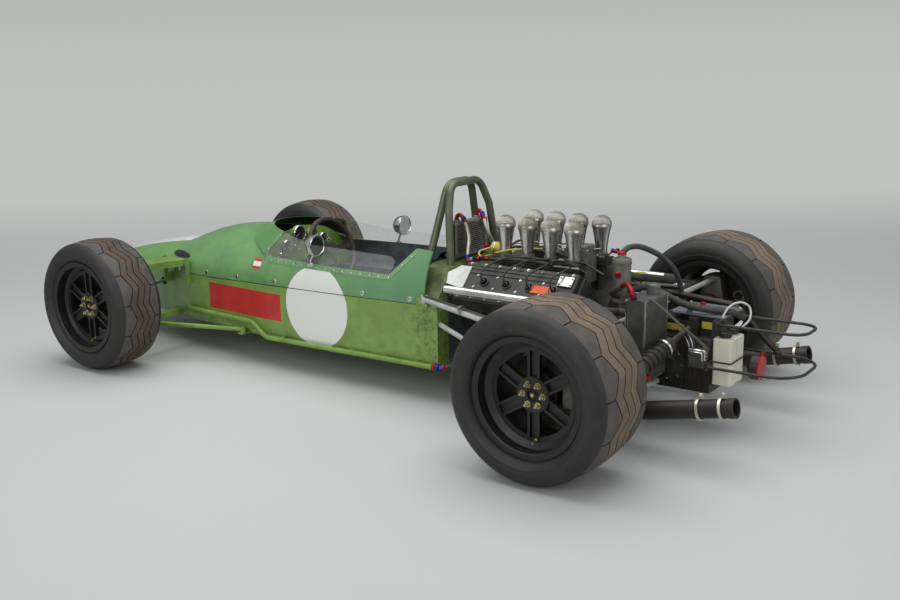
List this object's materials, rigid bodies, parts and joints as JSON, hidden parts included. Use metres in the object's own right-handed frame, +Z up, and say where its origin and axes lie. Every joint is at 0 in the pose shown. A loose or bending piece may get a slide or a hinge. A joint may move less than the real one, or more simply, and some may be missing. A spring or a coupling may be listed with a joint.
{
  "type": "open wheel racing car",
  "caption": "Open wheel single seater racing car with a riveted tub, exposed V engine behind the driver, twin roll hoops and fat outboard tyres.",
  "frame": {"origin": "on the ground, under the middle of the car's length and on its middle plane", "axes": "+X forward to the nose, +Y to the car's left, +Z up"},
  "size_m": [3.78, 1.8074, 0.882],
  "materials": {
    "lime_paint": "gloss",
    "green_paint": "gloss",
    "clear_screen": "clear",
    "dark_aluminium": "satin",
    "cast_alloy": "satin",
    "bright_steel": "bright",
    "olive_paint": "satin",
    "black_vinyl": "matt",
    "brown_leather": "worn",
    "chrome": "polished",
    "black_paint": "satin",
    "bright_alloy": "bright",
    "steel_gauze": "woven",
    "exhaust_steel": "heat stained",
    "white_steel": "satin",
    "dark_steel": "machined",
    "tyre": "matt",
    "black_wheel": "satin",
    "black_plastic": "matt",
    "lilac_plate": "satin",
    "clear_plastic": "milky",
    "red_lens": "lens",
    "grey_rubber": "matt"
  },
  "bodies": {
    "car": {"battery": "black_plastic", "battery_plate": "lilac_plate", "cam_covers": "black_paint", "catch_bottles": "clear_plastic", "cockpit_cowl": "green_paint", "coolant_hoses": "grey_rubber", "damper_bridge": "cast_alloy", "engine": "cast_alloy", "engine_plates": "white_steel", "exhausts": "exhaust_steel", "front_lower_arms": "lime_paint", "front_rocker_arms": "lime_paint", "gearbox": "cast_alloy", "injection_gear": "cast_alloy", "instrument_panel": "green_paint", "intake_screens": "steel_gauze", "intake_trumpets": "bright_alloy", "mirrors": "chrome", "monocoque": "lime_paint", "nose_cone": "lime_paint", "oil_cooler": "dark_aluminium", "oil_tank": "bright_alloy", "rack_housing": "cast_alloy", "radiator": "dark_aluminium", "radius_rods": "white_steel", "rear_bulkhead": "lime_paint", "rear_dampers": "black_paint", "rear_links": "white_steel", "rear_uprights": "cast_alloy", "roll_hoops": "olive_paint", "seat": "black_vinyl", "side_pipes": "lime_paint", "tail_brace": "black_paint", "tail_hoops": "black_paint", "tail_lamp": "red_lens", "water_rails": "white_steel", "wind_screen": "clear_screen"},
    "knuckle_left": {"front_knuckle_left": "cast_alloy"},
    "front_wheel_left_body": {"front_hub_left": "dark_steel", "front_wheel_left": "black_wheel", "front_tyre_left": "tyre"},
    "rear_wheel_left_body": {"rear_drive_left": "dark_steel", "rear_wheel_left": "black_wheel", "rear_tyre_left": "tyre"},
    "knuckle_right": {"front_knuckle_right": "cast_alloy"},
    "front_wheel_right_body": {"front_hub_right": "dark_steel", "front_wheel_right": "black_wheel", "front_tyre_right": "tyre"},
    "rear_wheel_right_body": {"rear_drive_right": "dark_steel", "rear_wheel_right": "black_wheel", "rear_tyre_right": "tyre"},
    "steering_rack_body": {"rack_and_tie_rods": "bright_steel"},
    "steering_wheel_body": {"steering_wheel": "brown_leather"}
  },
  "joints": [
    {"name": "steer_left", "type": "hinge", "parent": "car", "child": "knuckle_left", "pos_m": [1.126, 0.636, 0.297], "axis": [0, 0, 1], "range_deg": [-20, 20]},
    {"name": "spin_front_left", "type": "hinge", "parent": "knuckle_left", "child": "front_wheel_left_body", "pos_m": [1.126, 0.721, 0.297], "axis": [0, 1, 0], "continuous": true},
    {"name": "spin_rear_left", "type": "hinge", "parent": "car", "child": "rear_wheel_left_body", "pos_m": [-1.244, 0.732, 0.306], "axis": [0, 1, 0], "continuous": true},
    {"name": "steer_right", "type": "hinge", "parent": "car", "child": "knuckle_right", "pos_m": [1.126, -0.636, 0.297], "axis": [0, 0, 1], "range_deg": [-21, 21]},
    {"name": "spin_front_right", "type": "hinge", "parent": "knuckle_right", "child": "front_wheel_right_body", "pos_m": [1.126, -0.721, 0.297], "axis": [0, 1, 0], "continuous": true},
    {"name": "spin_rear_right", "type": "hinge", "parent": "car", "child": "rear_wheel_right_body", "pos_m": [-1.244, -0.732, 0.306], "axis": [0, 1, 0], "continuous": true},
    {"name": "rack_slide", "type": "slide", "parent": "car", "child": "steering_rack_body", "axis": [0, 1, 0], "range_m": [-0.0372, 0.0372]},
    {"name": "steering_wheel_turn", "type": "hinge", "parent": "car", "child": "steering_wheel_body", "pos_m": [0.347, 0, 0.509], "axis": [-0.9397, 0, 0.342], "range_deg": [-201, 201]}
  ],
  "couplings": [
    {"joint": "steer_right", "follows": "steer_left", "ratio": 1},
    {"joint": "rack_slide", "follows": "steer_left", "m_per_rad": 0.105},
    {"joint": "steering_wheel_turn", "follows": "steer_left", "ratio": 10}
  ]
}
